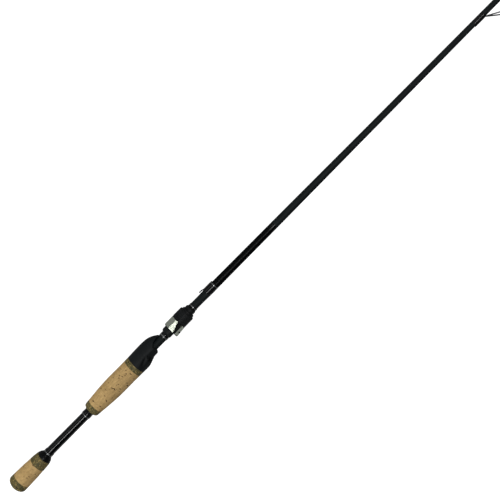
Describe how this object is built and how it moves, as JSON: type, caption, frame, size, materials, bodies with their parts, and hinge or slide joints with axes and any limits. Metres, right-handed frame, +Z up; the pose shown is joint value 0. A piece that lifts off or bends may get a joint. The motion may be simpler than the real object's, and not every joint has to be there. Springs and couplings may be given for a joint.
{
  "type": "spinning rod",
  "caption": "One-piece spinning fishing rod with split cork grips, a split reel seat with a screw-down sliding hood, a hook keeper and ring guides.",
  "frame": {"origin": "centre of the flat end of the butt, on the blank's axis", "axes": "+X along the blank towards the tip, -Y towards the reel and the line guides, +Z up as the rod lies on its side"},
  "size_m": [1.981, 0.0552, 0.0276],
  "materials": {
    "carbon_blank": "satin dark graphite, glossy where it is clear coated",
    "burl_cork": "speckled rubberised cork",
    "cork": "natural cork",
    "trim_metal": "polished",
    "thread_wrap": "thread under clear epoxy",
    "ceramic": "polished ceramic",
    "guide_steel": "smoked stainless steel",
    "polished_steel": "polished",
    "black_rubber": "matte",
    "arbor_foam": "matte",
    "seat_graphite": "soft touch matte"
  },
  "bodies": {
    "rod": {"barrel_arbor": "arbor_foam", "blank": "carbon_blank", "butt_burl_cap": "burl_cork", "fore_burl_ring": "burl_cork", "fore_cork_ring_1": "cork", "fore_cork_ring_2": "cork", "fore_cork_ring_3": "cork", "fore_cork_ring_4": "cork", "fore_cork_ring_5": "cork", "fore_cork_ring_6": "cork", "fore_grip_check": "black_rubber", "fore_grip_tail": "burl_cork", "fore_trim_band": "trim_metal", "fore_trim_wrap": "thread_wrap", "front_check": "black_rubber", "front_trim_band": "trim_metal", "front_trim_wrap": "thread_wrap", "guide_2_frame": "guide_steel", "guide_2_ring": "ceramic", "guide_2_wrap": "thread_wrap", "guide_3_frame": "guide_steel", "guide_3_ring": "ceramic", "guide_3_wrap": "thread_wrap", "guide_4_frame": "guide_steel", "guide_4_ring": "ceramic", "guide_4_wrap": "thread_wrap", "guide_5_frame": "guide_steel", "guide_5_ring": "ceramic", "guide_5_wrap": "thread_wrap", "guide_6_frame": "guide_steel", "guide_6_ring": "ceramic", "guide_6_wrap": "thread_wrap", "hook_keeper": "guide_steel", "keeper_band": "trim_metal", "keeper_wrap": "thread_wrap", "rear_burl_ring": "burl_cork", "rear_cork_ring_1": "cork", "rear_cork_ring_2": "cork", "rear_cork_ring_3": "cork", "rear_grip_check": "black_rubber", "rear_trim_band": "trim_metal", "rear_trim_wrap": "thread_wrap", "reel_seat_arbor": "arbor_foam", "reel_seat_body": "seat_graphite", "seat_barrel": "seat_graphite", "seat_trim_band": "trim_metal", "seat_trim_wrap": "thread_wrap", "stripper_guide_frame": "guide_steel", "stripper_guide_ring": "ceramic", "stripper_guide_wrap_1": "thread_wrap", "stripper_guide_wrap_2": "thread_wrap", "tip_top_frame": "guide_steel", "tip_top_ring": "ceramic", "tip_top_wrap": "thread_wrap"},
    "hood": {"hood_liner": "seat_graphite", "hood_cover": "polished_steel"},
    "nut": {"lock_nut": "seat_graphite"}
  },
  "joints": [
    {"name": "hood_slide", "type": "slide", "parent": "rod", "child": "hood", "axis": [1, 0, 0], "range_m": [-0.0081, 0.0061]},
    {"name": "nut_spin", "type": "hinge", "parent": "hood", "child": "nut", "pos_m": [0.3122, 0, 0], "axis": [1, 0, 0], "range_deg": [-1440, 1080]}
  ],
  "couplings": [
    {"joint": "hood_slide", "follows": "nut_spin", "m_per_rad": 0.00031831}
  ]
}
